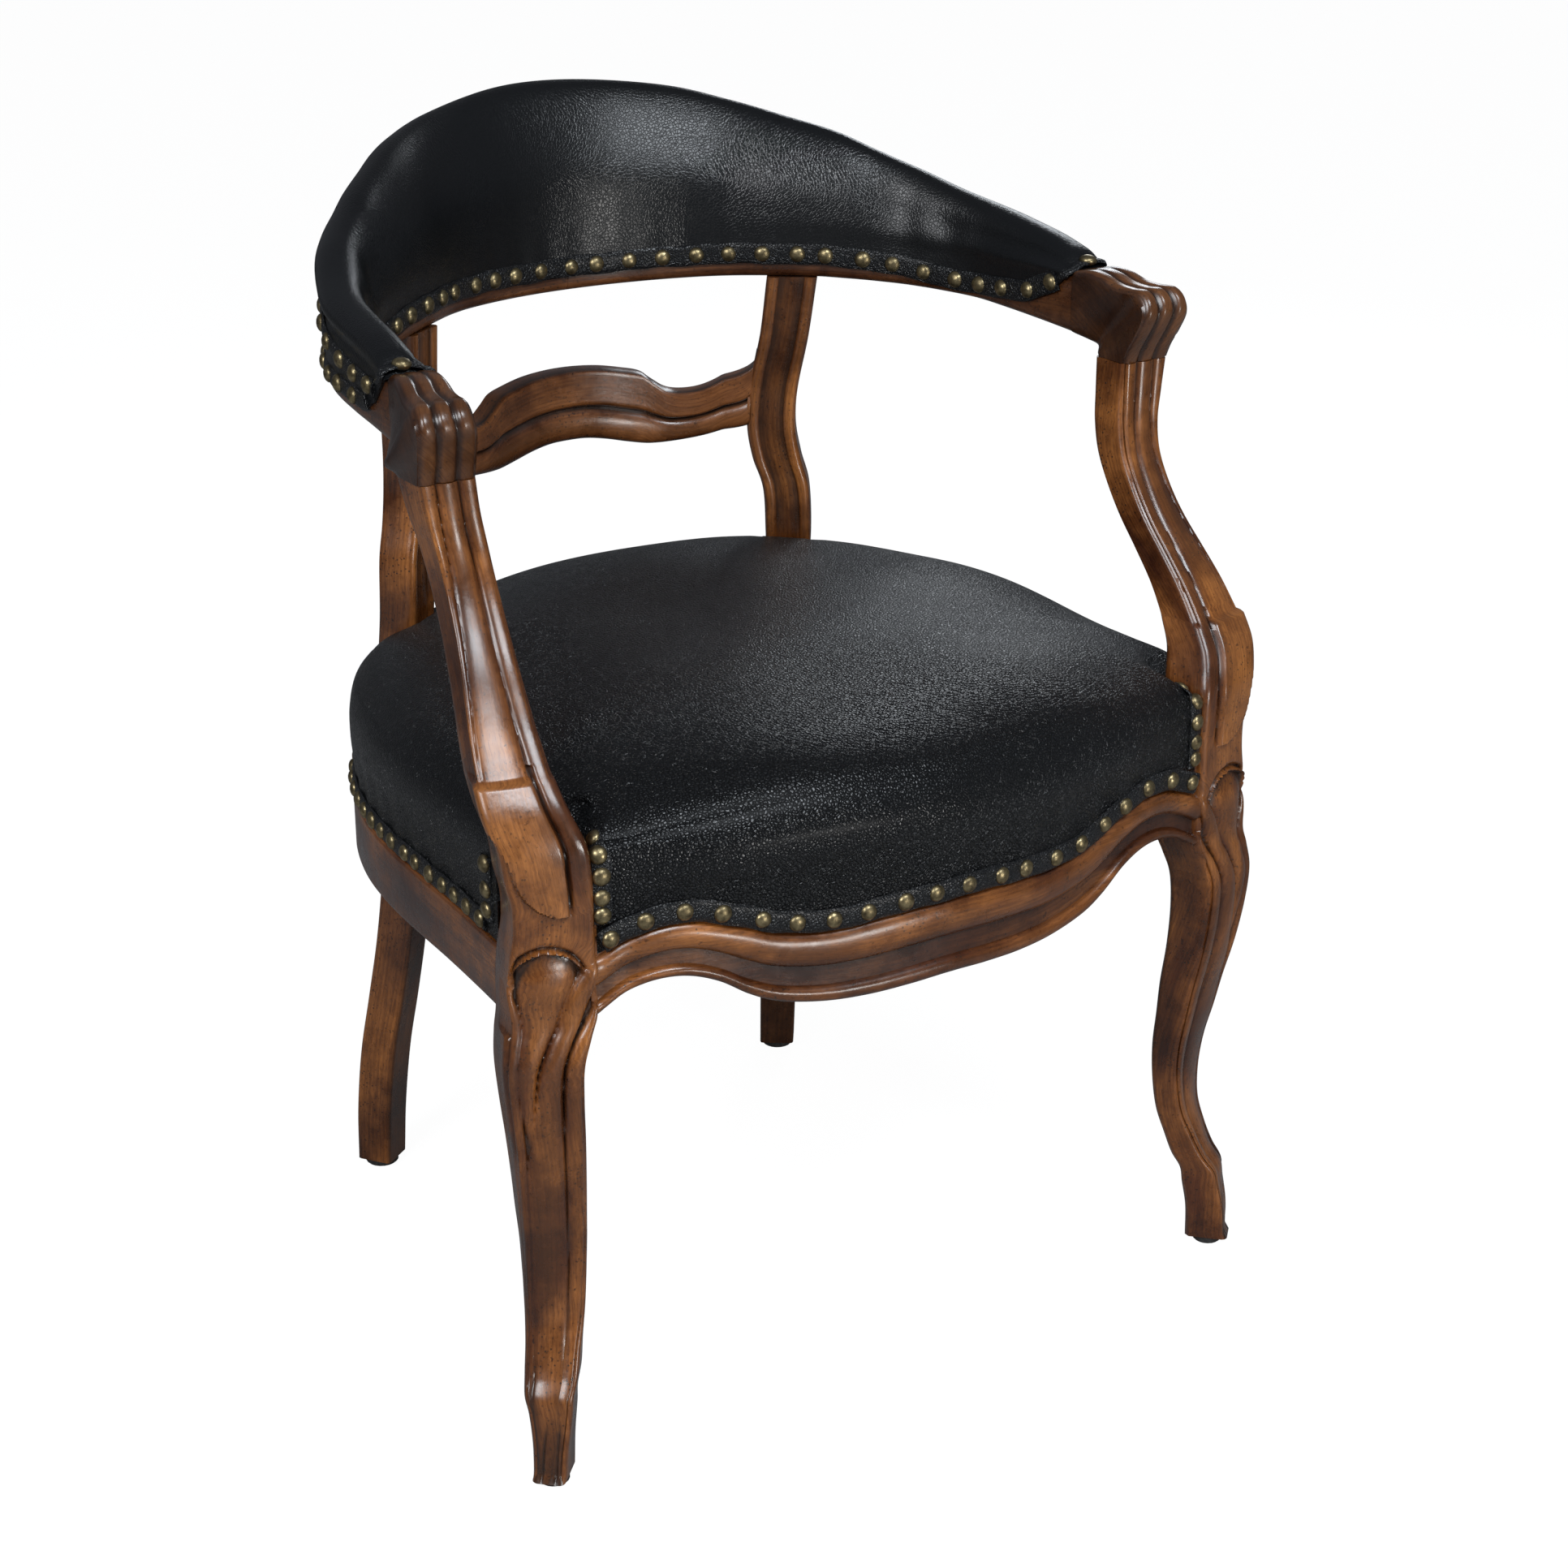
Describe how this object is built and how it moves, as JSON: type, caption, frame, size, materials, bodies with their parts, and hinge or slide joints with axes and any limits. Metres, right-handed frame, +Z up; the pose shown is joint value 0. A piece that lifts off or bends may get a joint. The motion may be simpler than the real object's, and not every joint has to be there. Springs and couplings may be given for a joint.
{
  "type": "desk armchair",
  "caption": "Low hooped-back desk armchair with carved cabriole legs, scrolled arms, padded leather seat and back edged with domed brass nails.",
  "frame": {"origin": "on the floor, below the middle of the overall width and depth", "axes": "+Z up, -Y out of the front of the seat, +X to the sitter's left; the mirror plane is x = 0"},
  "size_m": [0.5968, 0.5461, 0.805],
  "materials": {
    "walnut": "waxed, worn satin",
    "block_wood": "bare",
    "glide_rubber": "matte",
    "black_leather": "semi-gloss grained",
    "nailed_leather": "semi-gloss strip with brass nail heads",
    "horsehair": "loose fibre",
    "hessian": "coarse weave",
    "jute": "woven strap",
    "spring_steel": "drawn wire"
  },
  "bodies": {
    "root": {"arm_left": "walnut", "arm_right": "walnut", "back_band_inside": "nailed_leather", "back_band_outer_high": "nailed_leather", "back_band_outer_low": "nailed_leather", "back_cover_inside": "black_leather", "back_cover_outside": "black_leather", "back_padding": "horsehair", "back_splat": "walnut", "corner_block_front_left": "block_wood", "corner_block_front_right": "block_wood", "corner_block_rear_left": "block_wood", "corner_block_rear_right": "block_wood", "crest_rail_left": "walnut", "crest_rail_right": "walnut", "front_leg_left": "walnut", "front_leg_right": "walnut", "front_rail": "walnut", "glide_front_left": "glide_rubber", "glide_front_right": "glide_rubber", "glide_rear_left": "glide_rubber", "glide_rear_right": "glide_rubber", "hessian_cloth": "hessian", "post_band_inner_left": "nailed_leather", "post_band_inner_right": "nailed_leather", "post_band_outer_left": "nailed_leather", "post_band_outer_right": "nailed_leather", "rear_leg_left": "walnut", "rear_leg_right": "walnut", "rear_rail": "walnut", "seat_band_front": "nailed_leather", "seat_band_left": "nailed_leather", "seat_band_rear": "nailed_leather", "seat_band_right": "nailed_leather", "seat_cover": "black_leather", "seat_stuffing": "horsehair", "side_rail_left": "walnut", "side_rail_right": "walnut", "spring_1": "spring_steel", "spring_2": "spring_steel", "spring_3": "spring_steel", "spring_4": "spring_steel", "spring_5": "spring_steel", "webbing_cross_1": "jute", "webbing_cross_2": "jute", "webbing_cross_3": "jute", "webbing_long_1": "jute", "webbing_long_2": "jute", "webbing_long_3": "jute"}
  },
  "joints": []
}
